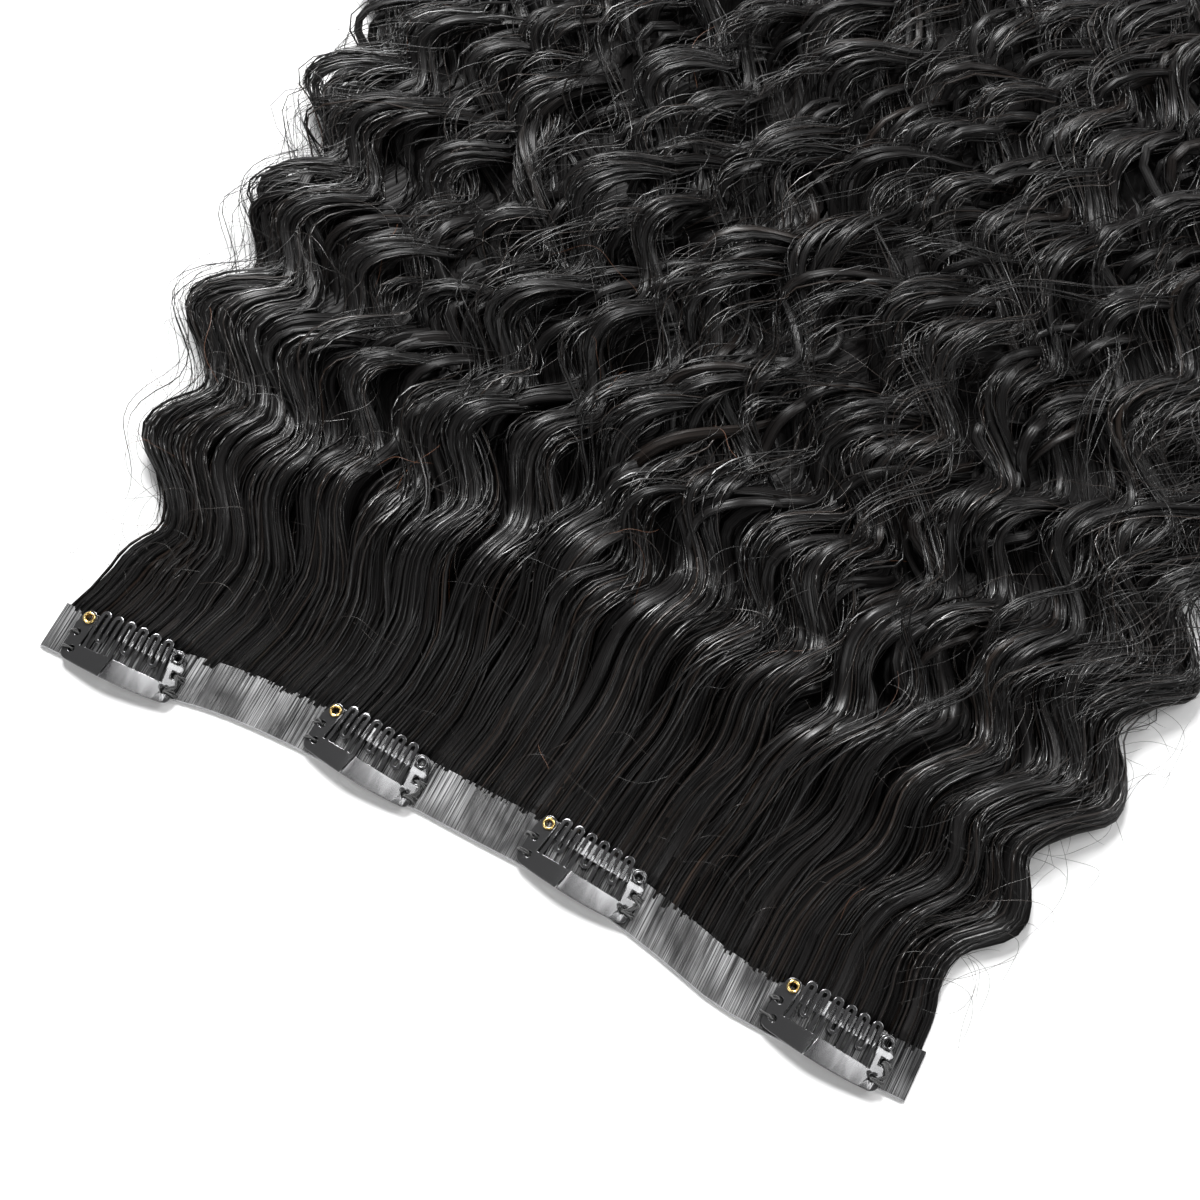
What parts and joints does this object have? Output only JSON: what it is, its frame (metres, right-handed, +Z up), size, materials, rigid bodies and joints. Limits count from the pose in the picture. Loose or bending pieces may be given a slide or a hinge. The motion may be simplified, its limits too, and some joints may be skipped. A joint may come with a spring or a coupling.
{
  "type": "clip in hair extension",
  "caption": "Wide weft of wavy black hair cast into a glossy band, with snap comb clips that fasten it to the wearer's own hair.",
  "frame": {"origin": "middle of the band's flat underside, on the surface that the extension lies on", "axes": "+X along the band from the clips' brass rivets to their black ones, +Y from the band to the hair's ends, +Z up from the surface"},
  "size_m": [0.2778, 0.3121, 0.0165],
  "materials": {
    "skin": "clear glossy skin over fine black hair roots",
    "hair": "near-black waved hair with grey gloss on its crests",
    "steel": "satin black lacquer",
    "brass": "polished",
    "black_rivet": "glossy black lacquer",
    "thread": "twisted black sewing thread"
  },
  "bodies": {
    "weft": {"band": "skin", "hair": "hair", "clip_1_tension_bar": "steel", "clip_2_tension_bar": "steel", "clip_3_tension_bar": "steel", "clip_4_tension_bar": "steel"},
    "clip_1": {"clip_1_toothed_plate": "steel", "clip_1_brass_rivet": "brass", "clip_1_black_rivet": "black_rivet"},
    "clip_2": {"clip_2_toothed_plate": "steel", "clip_2_brass_rivet": "brass", "clip_2_black_rivet": "black_rivet"},
    "clip_3": {"clip_3_toothed_plate": "steel", "clip_3_brass_rivet": "brass", "clip_3_black_rivet": "black_rivet"},
    "clip_4": {"clip_4_toothed_plate": "steel", "clip_4_brass_rivet": "brass", "clip_4_black_rivet": "black_rivet"}
  },
  "joints": [
    {"name": "clip_1_snap", "type": "hinge", "parent": "weft", "child": "clip_1", "pos_m": [-0.08851, -0.0124, 0.0014], "axis": [0.9986, 0.0523, 0], "range_deg": [0, 25]},
    {"name": "clip_2_snap", "type": "hinge", "parent": "weft", "child": "clip_2", "pos_m": [-0.0292, -0.0066, 0.0014], "axis": [0.9981, -0.061, 0], "range_deg": [0, 25]},
    {"name": "clip_3_snap", "type": "hinge", "parent": "weft", "child": "clip_3", "pos_m": [0.02501, -0.00696, 0.0014], "axis": [0.9981, -0.061, 0], "range_deg": [0, 25]},
    {"name": "clip_4_snap", "type": "hinge", "parent": "weft", "child": "clip_4", "pos_m": [0.08765, -0.01374, 0.0014], "axis": [0.9981, -0.061, 0], "range_deg": [0, 25]}
  ]
}
